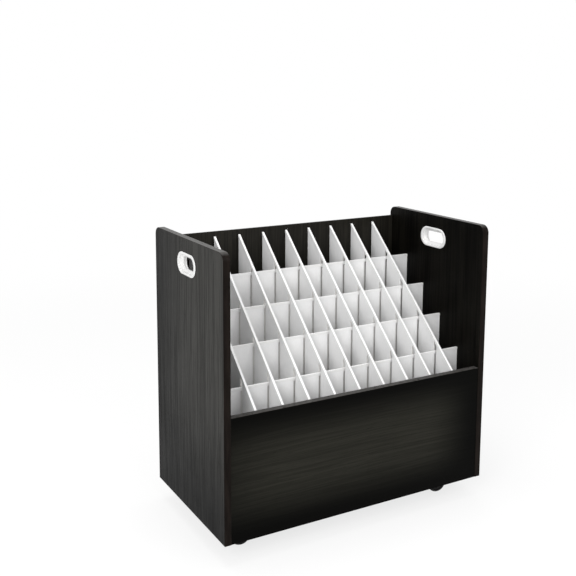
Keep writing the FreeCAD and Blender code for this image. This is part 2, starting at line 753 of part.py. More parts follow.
def cam_stations():
    """Each cam lock: side of the case, axis turn, and the middle of its open face."""
    stations = []
    for side in (1, -1):
        for sign in ("", "-"):
            stations.append((side, Rotation(), f"{sign}dim.base_cam_y", BASE_HEIGHT))
        for height in (FRONT_CAM_LOW, FRONT_CAM_HIGH):
            stations.append((side, Rotation(Vector(1, 0, 0), 90), FRONT_FACE, height))
    return stations


def make_cam_locks():
    """Round cam housings, hollowed for the bolt head, with a screwdriver slot."""
    locks = []
    for number, (side, turn, y, z) in enumerate(cam_stations(), start=1):
        housing = make_cylinder(f"cam_housing_{number}", "dim.cam_radius", "dim.cam_deep")
        slot = make_box(
            f"cam_slot_{number}",
            f"2 * dim.cam_radius + {PAST}",
            "dim.cam_slot",
            f"dim.cam_slot + {PAST}",
            z=f"-{PAST}",
        )
        throat = make_cylinder(
            f"cam_throat_{number}",
            "dim.bolt_head_radius + dim.cam_play",
            f"dim.cam_radius + dim.bolt_head_length + {PAST}",
            f"{-side} * dim.bolt_head_length",
            z="dim.panel_thick / 2",
            turn=TURN_X if side > 0 else TURN_X * Rotation(Vector(1, 0, 0), 180),
        )
        tools = fuse(f"cam_tools_{number}", [slot, throat])
        locks.append(place(cut(f"cam_lock_{number}", housing, tools), f"{side} * {CAM_X}", y, z, turn))
    return group("cam_locks", locks)


def make_cam_bolts():
    """Bolts screwed into the side panels, each with its head inside a cam lock."""
    bolts = []
    for side in (1, -1):
        turn = TURN_X if side > 0 else TURN_X * Rotation(Vector(1, 0, 0), 180)
        for y, z in bolt_places():
            number = len(bolts) + 1
            shank = make_cylinder(
                f"bolt_shank_{number}",
                "dim.bolt_radius",
                "dim.cam_setback + dim.bolt_grip",
                f"{side} * {CAM_X}",
                y,
                z,
                turn,
            )
            head = make_cylinder(
                f"bolt_head_{number}",
                "dim.bolt_head_radius",
                "dim.bolt_head_length",
                f"{side} * ({CAM_X} - dim.bolt_head_length / 2)",
                y,
                z,
                turn,
            )
            bolts.append(fuse(f"cam_bolt_{number}", [shank, head]))
    return group("cam_bolts", bolts)


# The casters. Each is drawn about its swivel axis with the wheels trailing towards +Y, and all
# that swivels is then turned to where it rests.


def swivel_of(name):
    """The named angle that a caster rests at."""
    return "dim.left_swivel" if "_left_" in name else "dim.right_swivel"


def rest_turn(name):
    return Rotation(Vector(0, 0, 1), value(swivel_of(name)))


def swung(name, x, y, u, v):
    """Where the point u, v of a caster with its swivel axis at x, y comes to rest."""
    cosine, sine = f"cos({swivel_of(name)} * 1deg)", f"sin({swivel_of(name)} * 1deg)"
    return (
        f"{x} + ({u}) * {cosine} - ({v}) * {sine}",
        f"{y} + ({u}) * {sine} + ({v}) * {cosine}",
    )


def make_caster_plate(name, x, y):
    """Square steel plate, and the swivel pin riveted in its middle as a solid of its own."""
    body = make_body(f"{name}_plate")
    half = "dim.plate_side / 2"
    outline = sketch_on(body, "XY_Plane", PLATE_BOTTOM)
    add_rectangle(outline, f"-{half}", half, f"-{half}", half)
    pad(body, outline, "dim.plate_thick")
    fillet(body, "dim.plate_corner", lambda edge: edge.BoundBox.ZLength > 1e-3)
    holes = sketch_on(body, "XY_Plane", f"{BASE_HEIGHT} + {PAST}")
    for u, v in screw_places("0", "0"):
        add_circle(holes, u, v, "dim.screw_radius + dim.screw_play")
    add_circle(holes, "0", "0", "dim.pin_radius + dim.press_play")
    pocket(body, holes, f"dim.plate_thick + {2 * PAST}")
    place(body, x, y)
    length = "dim.pin_length + dim.plate_thick"
    pin = make_cylinder(f"{name}_pin", "dim.pin_radius", length, x, y, f"{PLATE_BOTTOM} - dim.pin_length")
    return group(f"{name}_plate", [body, pin])


def make_hood(name, x, y, braked):
    """Swivelling nylon hood: web between the wheels, shell over them, hub round the pin."""
    trail, axle_height = "dim.wheel_trail", "dim.wheel_radius"
    hub_top = f"({PLATE_BOTTOM} - dim.bearing_gap)"
    shell = cut(
        f"{name}_shell",
        make_sector(f"{name}_shell_outer", HOOD_OUTSIDE, HOOD_WIDTH, "dim.hood_start", "dim.hood_end"),
        make_roller(f"{name}_shell_inner", HOOD_INSIDE, f"{HOOD_WIDTH} + {2 * PAST}", trail, axle_height),
    )
    web = make_sector(f"{name}_web", HOOD_OUTSIDE, "dim.web_thick", "dim.hood_start", "dim.web_end")
    boss = make_roller(f"{name}_boss", "dim.boss_radius", "dim.web_thick", trail, axle_height)
    hub = make_cylinder(f"{name}_hub", "dim.hub_radius", f"{hub_top} - {axle_height}", z=axle_height)
    wheel_rooms = []
    for tag, side in CASTER_SIDES:
        middle = f"{side} * (dim.web_thick + {HOOD_WIDTH}) / 2"
        wheel_rooms.append(
            make_roller(f"{name}_room_{tag}", HOOD_INSIDE, HOOD_WIDTH, trail, axle_height, middle)
        )
    hub_clear = cut(f"{name}_hub_clear", hub, fuse(f"{name}_rooms", wheel_rooms))
    solids = [shell, web, boss, hub_clear]
    pin_bore = make_cylinder(
        f"{name}_pin_bore",
        "dim.pin_radius + dim.running_play",
        f"{hub_top} - {PIN_BOTTOM} + {2 * PAST}",
        z=f"{PIN_BOTTOM} - {PAST}",
    )
    axle_bore = make_roller(
        f"{name}_axle_bore",
        "dim.axle_radius + dim.press_play",
        f"dim.web_thick + {2 * PAST}",
        trail,
        axle_height,
    )
    bores = [pin_bore, axle_bore]
    if braked:
        ear_middle = "(dim.ear_inner + dim.ear_thick / 2)"
        for tag, side in CASTER_SIDES:
            middle = f"{side} * {ear_middle}"
            arc_end = "dim.lever_angle + dim.ear_overlap"
            strap = make_sector(
                f"{name}_strap_{tag}",
                f"{LEVER_RADIUS} + dim.ear_radius",
                "dim.ear_thick",
                "dim.lever_angle",
                arc_end,
                middle,
            )
            inside = make_roller(
                f"{name}_strap_inside_{tag}",
                HOOD_INSIDE,
                f"dim.ear_thick + {2 * PAST}",
                trail,
                axle_height,
                middle,
            )
            solids.append(cut(f"{name}_ear_{tag}", strap, inside))
            solids.append(
                make_roller(f"{name}_eye_{tag}", "dim.ear_radius", "dim.ear_thick", LEVER_Y, LEVER_Z, middle)
            )
        bores.append(
            make_roller(
                f"{name}_lever_bore",
                "dim.trunnion_radius + dim.running_play",
                f"2 * (dim.ear_inner + dim.ear_thick + {PAST})",
                LEVER_Y,
                LEVER_Z,
            )
        )
    hood = cut(f"{name}_hood", fuse(f"{name}_moulding", solids), fuse(f"{name}_bores", bores))
    place(hood, x, y, turn=rest_turn(name))
    return keep(hood, f"{name}_hood")


def make_wheel(name, tag, side, x, y):
    """Solid nylon wheel with a dished outer face and a blind bore for the axle."""
    body = make_body(f"{name}_wheel_{tag}")
    radius, width = "dim.wheel_radius", "dim.wheel_width"
    bore = "dim.axle_radius + dim.running_play"
    rim = f"{radius} - dim.rim_thick"
    profile = sketch_on(body, "XY_Plane")
    add_outline(
        profile,
        (
            ("0", bore),
            ("0", f"{radius} - dim.wheel_round"),
            ("dim.wheel_round", radius),
            (f"{width} - dim.wheel_round", radius),
            (width, f"{radius} - dim.wheel_round"),
            (width, rim),
            (f"{width} - dim.dish_deep", f"{rim} - dim.dish_deep"),
            (f"{width} - dim.dish_deep", "dim.wheel_hub_radius"),
            (width, f"dim.wheel_hub_radius - dim.dish_deep"),
            (width, "0"),
            (AXLE_BORE, "0"),
            (AXLE_BORE, bore),
        ),
    )
    turned = body.newObject("PartDesign::Revolution", f"{body.Name}_turned")
    turned.Profile = profile
    turned.ReferenceAxis = (profile, ["H_Axis"])
    turned.Angle = 360

    dimple = sketch_on(body, "YZ_Plane", f"{width} + {PAST}")
    middle = f"({rim} - dim.dish_deep + dim.wheel_hub_radius) / 2"
    add_circle(dimple, "0", middle, "dim.dimple_radius")
    first = pocket(body, dimple, f"dim.dish_deep + dim.dimple_deep + {PAST}")
    pattern(
        body,
        [first],
        "PolarPattern",
        Axis=(profile, ["H_Axis"]),
        Angle=360,
        Occurrences="dim.dimple_count",
    )
    turn = rest_turn(name) if side > 0 else rest_turn(name) * HALF_TURN
    place(body, *swung(name, x, y, f"{side} * {WHEEL_INNER}", "dim.wheel_trail"), radius, turn)
    return keep(body, f"{name}_wheel_{tag}")


def make_axle(name, x, y):
    length = f"2 * ({WHEEL_INNER} + {AXLE_BORE} - dim.axle_end_gap)"
    end = swung(name, x, y, f"-({length}) / 2", "dim.wheel_trail")
    turn = rest_turn(name) * SPIN_X
    axle = make_cylinder(f"{name}_axle_rod", "dim.axle_radius", length, *end, "dim.wheel_radius", turn)
    return keep(axle, f"{name}_axle")


def make_brake_lever(name, x, y):
    """Pedal with a shoe bar across both treads, hinged on the hood's ears."""
    barrel_width = "2 * (dim.ear_inner - dim.ear_play)"
    barrel = make_roller(f"{name}_barrel", "dim.barrel_radius", barrel_width, "0", "0")
    trunnion_width = "2 * (dim.ear_inner + dim.ear_thick - dim.ear_play)"
    trunnions = make_roller(f"{name}_trunnions", "dim.trunnion_radius", trunnion_width, "0", "0")
    neck = make_box(
        f"{name}_neck",
        barrel_width,
        f"dim.pedal_neck + {PAST}",
        "dim.pedal_thick",
        y=f"(dim.pedal_neck + {PAST}) / 2",
        z="-dim.pedal_thick / 2",
    )
    foot = make_box(
        f"{name}_foot",
        "dim.pedal_width",
        "dim.pedal_length - dim.pedal_neck",
        "dim.pedal_thick",
        y="(dim.pedal_length + dim.pedal_neck) / 2",
        z="-dim.pedal_thick / 2",
    )
    shoe_angle = value("dim.lever_angle - 90 - dim.lever_tilt")
    to_shoe = Rotation(Vector(1, 0, 0), shoe_angle)
    arm = make_box(
        f"{name}_arm",
        barrel_width,
        "dim.shoe_offset",
        "dim.pedal_thick",
        y="dim.shoe_offset / 2",
        z="-dim.pedal_thick / 2",
    )
    shoe = make_roller(f"{name}_shoe_bar", "dim.shoe_radius", "dim.shoe_width", "dim.shoe_offset", "0")
    shoe_arm = place(fuse(f"{name}_shoe", [arm, shoe]), turn=to_shoe)
    lever = fuse(f"{name}_brake_lever", [barrel, trunnions, neck, foot, shoe_arm])
    tilt = Rotation(Vector(1, 0, 0), value("dim.lever_tilt"))
    place(lever, *swung(name, x, y, "0", LEVER_Y), LEVER_Z, rest_turn(name) * tilt)
    return keep(lever, f"{name}_brake_lever")


def make_caster(name, x_sign, y_sign, braked):
    x, y = f"{x_sign}{CASTER_X}", f"{y_sign}{CASTER_Y}"
    make_caster_plate(name, x, y)
    make_hood(name, x, y, braked)
    make_axle(name, x, y)
    for tag, side in CASTER_SIDES:
        make_wheel(name, tag, side, x, y)
    if braked:
        make_brake_lever(name, x, y)


def make_model():
    left_side = make_left_side()
    mirror("right_side_panel", left_side)
    make_front_panel()
    make_base_panel()
    make_back_panel()
    for where in ("outer", "inner"):
        mirror(f"right_grommet_{where}", make_left_grommet(where))
    for index in range(1, depth_dividers + 1):
        make_depth_divider(index)
        make_depth_cap(index)
    for index in range(1, row_dividers + 1):
        make_row_divider(index)
        make_row_cap(index)
    make_cam_locks()
    make_cam_bolts()
    make_caster_screws()
    make_caster("front_left_caster", "-", "-", True)
    make_caster("front_right_caster", "", "-", True)
    make_caster("rear_left_caster", "-", "", False)
    make_caster("rear_right_caster", "", "", False)
    doc.recompute()


def check_model():
    """Stop if any object failed, a cut removed nothing, or a sub-part isn't a valid solid."""
    for item in doc.Objects:
        if "Invalid" in item.State or "Error" in item.State:
            raise RuntimeError(f"{item.Label} failed: {item.State}")
        if item.TypeId == "PartDesign::Pocket":
            removed = item.BaseFeature.Shape.Volume - item.Shape.Volume
            if removed < 1e-3:
                raise RuntimeError(f"{item.Label} removes nothing")
    for piece in sub_parts:
        if piece.Shape.isNull() or not piece.Shape.isValid() or not piece.Shape.Solids:
            raise RuntimeError(f"{piece.Label} has no valid solid")


def write_parts():
    os.makedirs("parts", exist_ok=True)
    for piece in sub_parts:
        piece.Shape.exportStep(f"parts/{piece.Label}.step")
        print(f"{piece.Label}: {len(piece.Shape.Solids)} solid(s), {piece.Shape.Volume / 1000:.1f} cm3")


make_model()
check_model()
write_parts()
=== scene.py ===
import math

import bmesh
import bpy
from mathutils import Matrix, Vector


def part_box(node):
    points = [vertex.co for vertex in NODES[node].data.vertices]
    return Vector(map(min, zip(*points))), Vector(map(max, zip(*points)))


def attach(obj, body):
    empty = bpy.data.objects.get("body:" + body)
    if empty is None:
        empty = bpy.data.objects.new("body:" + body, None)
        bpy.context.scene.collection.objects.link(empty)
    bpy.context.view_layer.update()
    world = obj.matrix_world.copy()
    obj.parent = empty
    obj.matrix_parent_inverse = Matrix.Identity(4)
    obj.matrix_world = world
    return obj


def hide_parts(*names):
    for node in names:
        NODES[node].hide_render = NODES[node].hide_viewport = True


# A black laminated roll file on casters, with its crate of white divider boards.
# Metres, in the CAD's own frame: +Z up, front towards -Y.

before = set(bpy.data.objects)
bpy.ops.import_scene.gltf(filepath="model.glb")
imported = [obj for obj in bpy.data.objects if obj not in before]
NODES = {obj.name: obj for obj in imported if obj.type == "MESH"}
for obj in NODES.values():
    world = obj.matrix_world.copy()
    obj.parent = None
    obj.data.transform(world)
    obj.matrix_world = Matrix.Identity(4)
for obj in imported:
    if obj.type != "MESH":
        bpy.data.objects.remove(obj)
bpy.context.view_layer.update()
CASTERS = ("front_left_caster", "front_right_caster", "rear_left_caster", "rear_right_caster")
SIDES = {"left": -1, "right": 1}
CORNERS = ((-1, -1), (1, -1), (1, 1), (-1, 1))
AXES = {"x": 0, "y": 1, "z": 2}
MM = 0.001


# Short calls for new objects and meshes.


def new_object(name, content):
    made = bpy.data.objects.new(name, content)
    bpy.context.scene.collection.objects.link(made)
    return made


def to_mesh(source, name):
    mesh = bpy.data.meshes.new(name)
    source.to_mesh(mesh)
    source.free()
    return mesh


def facing_from(start, end):
    """The turn of a camera or lamp at start that looks towards end."""
    return (Vector(end) - Vector(start)).to_track_quat("-Z", "Y").to_euler()


def shade(piece, crease, material):
    """Smooth the piece up to that angle between its faces, and give it its material."""
    piece.data.shade_smooth()
    piece.data.set_sharp_from_angle(angle=math.radians(crease))
    piece.data.materials.append(material)


def paint(material, *names):
    """Give the material to nodes of the model."""
    for name in names:
        slots = NODES[name].material_slots
        for slot in slots:
            slot.material = material
        if not slots:
            NODES[name].data.materials.append(material)


# The camera stands where the photograph's did: the aim point and distance are on its optical
# axis, and the shift and the longer lens only crop the picture round the object.

CAMERA_AZIMUTH = math.radians(-28.243)
CAMERA_ELEVATION = math.radians(8.262)
CAMERA_DISTANCE = 2.1633
CAMERA_AIM = Vector((-0.1865, 0.0, 0.8192))
CAMERA_LENS = 54.54
CAMERA_SHIFT = (0.05, -0.15)
CAMERA_CLIP = (0.01, 100)


def make_camera():
    camera = new_object("camera", bpy.data.cameras.new("camera"))
    back = Vector(
        (
            math.sin(CAMERA_AZIMUTH) * math.cos(CAMERA_ELEVATION),
            -math.cos(CAMERA_AZIMUTH) * math.cos(CAMERA_ELEVATION),
            math.sin(CAMERA_ELEVATION),
        )
    )
    camera.location = CAMERA_AIM + back * CAMERA_DISTANCE
    camera.rotation_euler = facing_from(back, (0, 0, 0))
    camera.data.lens = CAMERA_LENS
    camera.data.shift_x, camera.data.shift_y = CAMERA_SHIFT
    camera.data.clip_start, camera.data.clip_end = CAMERA_CLIP
    bpy.context.scene.camera = camera


# Node graphs for the finishes. The Mix node's sockets go by number, since its names repeat:
# these are its factor, its two colours and the colour that comes out.

MIX_INPUTS = (0, 6, 7)
MIX_RESULT = 2


class Nodes:
    """A node tree, with short calls for what the finishes, the floor and the world share."""

    def __init__(self, tree):
        self.tree = tree
        tree.nodes.clear()

    def add(self, kind, inputs=None, **settings):
        """A new node; each input is a number, a colour or the output of another node."""
        node = self.tree.nodes.new(kind)
        for name, setting in settings.items():
            setattr(node, name, setting)
        for name, source in (inputs or {}).items():
            self.put(node.inputs[name], source)
        return node

    def put(self, socket, source):
        if isinstance(source, bpy.types.NodeSocket):
            self.tree.links.new(source, socket)
        else:
            socket.default_value = source

    def math(self, operation, first, second=0.0, clamp=False):
        inputs = {0: first, 1: second}
        return self.add("ShaderNodeMath", inputs, operation=operation, use_clamp=clamp).outputs[0]

    def total(self, first, *others):
        for other in others:
            first = self.math("ADD", first, other)
        return first

    def product(self, first, *others):
        for other in others:
            first = self.math("MULTIPLY", first, other)
        return first

    def blend(self, factor, first, second):
        """A number between two others."""
        return self.total(first, self.product(factor, self.math("SUBTRACT", second, first)))

    def fit(self, source, low, high, to_low=0.0, to_high=1.0):
        """The source's range low to high, eased into another range."""
        inputs = {
            "Value": source,
            "From Min": low,
            "From Max": high,
            "To Min": to_low,
            "To Max": to_high,
        }
        node = self.add("ShaderNodeMapRange", inputs, interpolation_type="SMOOTHSTEP")
        return node.outputs["Result"]

    def mix(self, factor, first, second, mode="MIX"):
        """A colour between two others, or the two joined in another mode."""
        node = self.add("ShaderNodeMix", data_type="RGBA", blend_type=mode)
        for number, source in zip(MIX_INPUTS, (factor, first, second)):
            self.put(node.inputs[number], source)
        return node.outputs[MIX_RESULT]

    def mix_shader(self, factor, first, second):
        inputs = {0: factor, 1: first.outputs[0], 2: second.outputs[0]}
        return self.add("ShaderNodeMixShader", inputs).outputs[0]

    def shown_rays(self):
        """1 for rays straight from the camera, off gloss and through glass, and 0 for others."""
        rays = self.add("ShaderNodeLightPath").outputs
        shown = self.math("ADD", rays["Is Camera Ray"], rays["Is Glossy Ray"])
        return self.math("ADD", shown, rays["Is Transmission Ray"], clamp=True)


class Finish(Nodes):
    """A material: one shader, and short calls for the places and directions on the object."""

    def __init__(self, name):
        self.material = bpy.data.materials.new(name)
        self.material.use_nodes = True
        super().__init__(self.material.node_tree)
        self.surface = self.add("ShaderNodeBsdfPrincipled")
        self.output = self.add("ShaderNodeOutputMaterial", {"Surface": self.surface.outputs[0]})
        coordinates = self.add("ShaderNodeTexCoord").outputs
        self.place = coordinates["Object"]
        self.normal = coordinates["Normal"]

    def set(self, **inputs):
        """Set or link the shader's own sockets; an underscore in a name stands for a space."""
        for name, source in inputs.items():
            self.put(self.surface.inputs[name.replace("_", " ")], source)

    def bump(self, height, distance, strength):
        inputs = {"Height": height, "Distance": distance, "Strength": strength}
        self.set(Normal=self.add("ShaderNodeBump", inputs).outputs["Normal"])

    def noise(self, scale, source=None, detail=3.0, roughness=0.5):
        """Noise with that many waves a metre: one number for all ways, or one for each axis."""
        if not isinstance(scale, (list, tuple)):
            scale = (scale, scale, scale)
        stretched = self.add("ShaderNodeMapping", {"Vector": source or self.place, "Scale": scale})
        inputs = {
            "Vector": stretched.outputs["Vector"],
            "Scale": 1.0,
            "Detail": detail,
            "Roughness": roughness,
        }
        return self.add("ShaderNodeTexNoise", inputs).outputs["Fac"]

    def turned(self, axis, degrees, source=None):
        """The place, or another vector, turned about one of the object's axes."""
        angles = [0.0, 0.0, 0.0]
        angles[AXES[axis]] = math.radians(degrees)
        inputs = {"Vector": source or self.place, "Rotation": angles}
        return self.add("ShaderNodeMapping", inputs).outputs["Vector"]

    def shifted(self, vector, shift, factor):
        """A vector moved by another one times a factor."""
        move = self.add("ShaderNodeVectorMath", {0: shift, "Scale": factor}, operation="SCALE")
        inputs = {0: vector, 1: move.outputs[0]}
        return self.add("ShaderNodeVectorMath", inputs, operation="ADD").outputs[0]

    def all_three(self, source):
        """A vector, or a grey, with the same number in all its parts."""
        inputs = {"X": source, "Y": source, "Z": source}
        return self.add("ShaderNodeCombineXYZ", inputs).outputs[0]

    def part(self, vector, axis):
        return self.add("ShaderNodeSeparateXYZ", {"Vector": vector}).outputs[AXES[axis]]

    def along(self, axis):
        """The place along one axis of the object, in metres."""
        return self.part(self.place, axis)

    def facing(self, axis, normal=None):
        """How squarely the surface faces along one axis of the object, either way."""
        return self.math("ABSOLUTE", self.part(normal or self.normal, axis))

    def upward(self):
        """How squarely the surface faces up, and below 0 where it faces down."""
        return self.part(self.normal, "z")


def grey(level, warmth=0.0):
    """A linear colour near grey; warmth tilts it towards brown."""
    return (level * (1 + warmth), level, level * (1 - warmth), 1)


# The laminate. Its waves a metre run along the grain, across it and through the board.

BEND_WAVES = (1.6, 5, 3)
BEND_REACH = 0.03
FIGURE_WAVES = (1.5, 55, 4)
STREAK_WAVES = (5, 330, 9)
PORE_WAVES = (26, 1150, 20)
CLOUD_WAVES = 2.2
SHARES = {"figure": 0.30, "streak": 0.70, "cloud": 0.14}
TONE_RANGE = (0.47, 0.67)
PORE_RANGE = (0.60, 0.70)
PORE_SHADE = 0.3

# How squarely the surface faces the board's own way where the banding starts and is full, and
# where the seam between the two comes and goes.
EDGE_TURN = (0.93, 0.80)
SEAM_START = (0.985, 0.95)
SEAM_END = (0.86, 0.93)

BAND_WAVES = (90, 90, 14)
BAND_DARK = (0.0052, 0.0037, 0.0030, 1)
BAND_LIGHT = (0.0098, 0.0070, 0.0057, 1)
SEAM_SHADE = grey(0.003)
RUBBED_SEAM = grey(0.045, 0.12)
# Painted sheen: the pale grey that top-facing edges of the banding are mixed towards.
TOP_EDGE_SHEEN = grey(0.065, 0.04)


def by_axis(along, across, through, grain, face):
    """Three numbers put in axis order, for a board with that grain and face direction."""
    scale = [across] * 3
    scale[AXES[grain]] = along
    scale[AXES[face]] = through
    return scale


def painted_reflection_patch(g, bounds):
    """A soft-edged patch of painted reflection, as 1 inside and 0 outside.

    Each bound is an axis and two places on it, one outside the patch and one inside.
    """
    return g.product(*(g.fit(g.along(axis), outside, inside) for axis, outside, inside in bounds))


def laminate(name, grain, face, dark, light, sheen, patch=(), outside=1.0):
    """Black woodgrain laminate on the faces, and brown banding on the edges.

    Where there is a paler patch, which is a painted reflection, the figure outside it is darkened
    to that share.
    """
    g = Finish(name)
    bend = g.all_three(g.noise(by_axis(*BEND_WAVES, grain, face), detail=2))
    bent = g.shifted(g.place, bend, BEND_REACH)
    figure = g.noise(by_axis(*FIGURE_WAVES, grain, face), bent, detail=4, roughness=0.6)
    streak = g.noise(by_axis(*STREAK_WAVES, grain, face), bent, detail=3, roughness=0.6)
    cloud = g.noise(CLOUD_WAVES, detail=2)
    open_pore = g.fit(g.noise(by_axis(*PORE_WAVES, grain, face), detail=2), *PORE_RANGE)
    tone = g.total(
        g.product(figure, SHARES["figure"]),
        g.product(streak, SHARES["streak"]),
        g.product(cloud, SHARES["cloud"]),
    )
    tone = g.fit(tone, *TONE_RANGE)
    wood = g.mix(tone, (*dark, 1), (*light, 1))
    pore_colour = (*(part * PORE_SHADE for part in dark), 1)
    wood = g.mix(g.product(open_pore, 0.6), wood, pore_colour)
    # Painted reflection: the figure outside the patch is darkened, so the patch reads as a lighter
    # soft reflection.
    if patch:
        dimmed = g.all_three(g.blend(painted_reflection_patch(g, patch), outside, 1.0))
        wood = g.mix(1.0, wood, dimmed, "MULTIPLY")

    facing = g.facing(face)
    edge = g.fit(facing, *EDGE_TURN)
    seam = g.product(g.fit(facing, *SEAM_START), g.fit(facing, *SEAM_END))
    band_grain = g.noise(BAND_WAVES)
    band = g.mix(g.fit(band_grain, 0.35, 0.7), BAND_DARK, BAND_LIGHT)
    scuff = g.fit(g.noise((60, 60, 22), detail=5, roughness=0.7), 0.66, 0.76)
    # Painted sheen: on top-facing edges the banding is mixed towards a pale grey, standing for the
    # sheen those edges catch.
    dust = g.product(g.fit(g.upward(), 0.6, 0.95), edge, g.fit(band_grain, 0.25, 0.75, 0.45, 0.8))
    colour = g.mix(edge, wood, band)
    colour = g.mix(g.product(seam, 0.45), colour, SEAM_SHADE)
    colour = g.mix(g.product(seam, scuff, 0.5), colour, RUBBED_SEAM)
    colour = g.mix(dust, colour, TOP_EDGE_SHEEN)

    smudge = g.fit(g.noise(5, detail=4, roughness=0.6), 0.3, 0.75, -0.03, 0.05)
    satin = g.total(g.fit(tone, 0, 1, 0.46, 0.36), smudge, g.product(open_pore, 0.18))
    rough = g.blend(edge, satin, g.fit(band_grain, 0, 1, 0.24, 0.34))
    g.set(Base_Color=colour, Roughness=rough, Specular_IOR_Level=sheen)
    relief = g.math("SUBTRACT", g.product(streak, 0.45), g.product(open_pore, 0.8))
    relief = g.product(relief, g.math("SUBTRACT", 1.0, edge))
    relief = g.math("SUBTRACT", relief, g.product(seam, 0.6))
    g.bump(relief, 0.00012, 0.8)
    return g.material


# The other finishes.

BOARD_SPECK = (0.55, 0.54, 0.52, 1)
CORE_DARK = (0.46, 0.45, 0.43, 1)
CORE_LIGHT = (0.66, 0.65, 0.63, 1)
HANDLING_MARK = grey(0.5, 0.03)
NYLON_DUST = grey(0.030, 0.08)
TREAD_RING_WAVES = (2600, 6, 6)
SPANGLE_SCALE = 420.0
BRUSH_WAVES = (1400, 90, 700)


def divider_board(name, face, white):
    """White-faced board with faint fibres; its cut edges are bare grey board."""
    g = Finish(name)
    fibre = g.noise((300, 300, 120), detail=4, roughness=0.6)
    mottle = g.noise((14, 14, 9))
    drift = g.noise((3, 3, 2), detail=1)
    tone = g.total(g.product(fibre, 0.35), g.product(mottle, 0.65))
    paper = g.mix(g.fit(tone, 0.3, 0.7), grey(white * 0.955), grey(white * 1.045, 0.004))
    paper = g.mix(g.fit(drift, 0.45, 0.8, 0, 0.25), paper, grey(white * 0.96, -0.008))
    speck = g.fit(g.noise(210, detail=2), 0.74, 0.80, 0, 0.22)
    paper = g.mix(speck, paper, BOARD_SPECK)
    core_grain = g.noise(500, roughness=0.7)
    core = g.mix(core_grain, CORE_DARK, CORE_LIGHT)
    cut = g.fit(g.facing(face), 0.7, 0.5)
    rough = g.blend(cut, g.fit(tone, 0.3, 0.7, 0.50, 0.62), 0.85)
    g.set(Base_Color=g.mix(cut, paper, core), Roughness=rough, Specular_IOR_Level=0.35)
    g.bump(g.blend(cut, g.product(fibre, 0.3), core_grain), 0.0001, 0.6)
    return g.material


def white_plastic(name, base, rough, grain, relief, tilt=0.0):
    """White moulded or extruded plastic with a faint texture and handling marks.

    The texture has that many waves a metre, and is turned by tilt degrees about the X axis.
    """
    g = Finish(name)
    skin = g.noise(grain, g.turned("x", tilt), roughness=0.55)
    tint = g.fit(g.noise(8, detail=2), 0.3, 0.75)
    colour = g.mix(tint, grey(base), (base * 0.965, base * 0.96, base * 0.945, 1))
    marks = g.fit(g.noise(70, detail=5, roughness=0.7), 0.62, 0.80, 0, 0.10)
    gloss = g.fit(g.total(skin, marks), 0.25, 0.8, rough - 0.05, rough + 0.09)
    g.set(Base_Color=g.mix(marks, colour, HANDLING_MARK), Roughness=gloss)
    g.set(Specular_IOR_Level=0.5, Coat_Weight=0.08, Coat_Roughness=0.2)
    g.bump(skin, relief, 0.5)
    return g.material


def black_nylon(name, base, rough, axle_turn=None):
    """Black moulded nylon with a spark-eroded texture; a tread has fine turning marks and dust.

    A wheel's axle lies level, axle_turn degrees round from the X axis.
    """
    g = Finish(name)
    skin = g.noise(900, roughness=0.6)
    cloud = g.noise(45, detail=4, roughness=0.6)
    colour = g.mix(g.fit(cloud, 0.3, 0.75), grey(base, 0.02), grey(base * 2.1, 0.04))
    dust = g.fit(g.noise(160, detail=5, roughness=0.75), 0.56, 0.78, 0, 0.35)
    relief = g.product(skin, 0.5)
    if axle_turn is not None:
        tread = g.fit(g.facing("x", g.turned("z", -axle_turn, g.normal)), 0.5, 0.25)
        rings = g.noise(TREAD_RING_WAVES, g.turned("z", -axle_turn), detail=2)
        relief = g.total(relief, g.product(rings, tread, 0.8))
        dust = g.math("ADD", dust, g.product(cloud, tread, 0.25), clamp=True)
    matt = g.total(g.fit(skin, 0.3, 0.7, rough - 0.06, rough + 0.06), g.product(dust, 0.25))
    g.set(Base_Color=g.mix(dust, colour, NYLON_DUST), Roughness=matt, Specular_IOR_Level=0.22)
    g.bump(relief, 0.00006, 0.7)
    return g.material


def plated_steel(name, base, rough):
    """Zinc-plated steel: a spangled, slightly blue metal with rubbed edges and dull patches."""
    g = Finish(name)
    cells = g.add("ShaderNodeTexVoronoi", {"Vector": g.place, "Scale": SPANGLE_SCALE})
    spangle = g.add("ShaderNodeSeparateColor", {"Color": cells.outputs["Color"]}).outputs["Red"]
    patch = g.noise(60, detail=4, roughness=0.6)
    brush = g.noise(BRUSH_WAVES, detail=2)
    bright = g.mix(spangle, (base * 0.90, base * 0.92, base * 0.95, 1), grey(base))
    colour = g.mix(g.fit(patch, 0.5, 0.8, 0, 0.6), bright, grey(base * 0.62, 0.05))
    worn = g.fit(patch, 0.3, 0.75, rough - 0.06, rough + 0.12)
    g.set(Base_Color=colour, Metallic=1.0, Roughness=g.total(worn, g.product(brush, 0.06)))
    g.bump(g.total(brush, g.product(patch, 0.5)), 0.00003, 0.5)
    return g.material


# Which laminate each panel has. A paler patch stands for a soft reflection in the photograph.

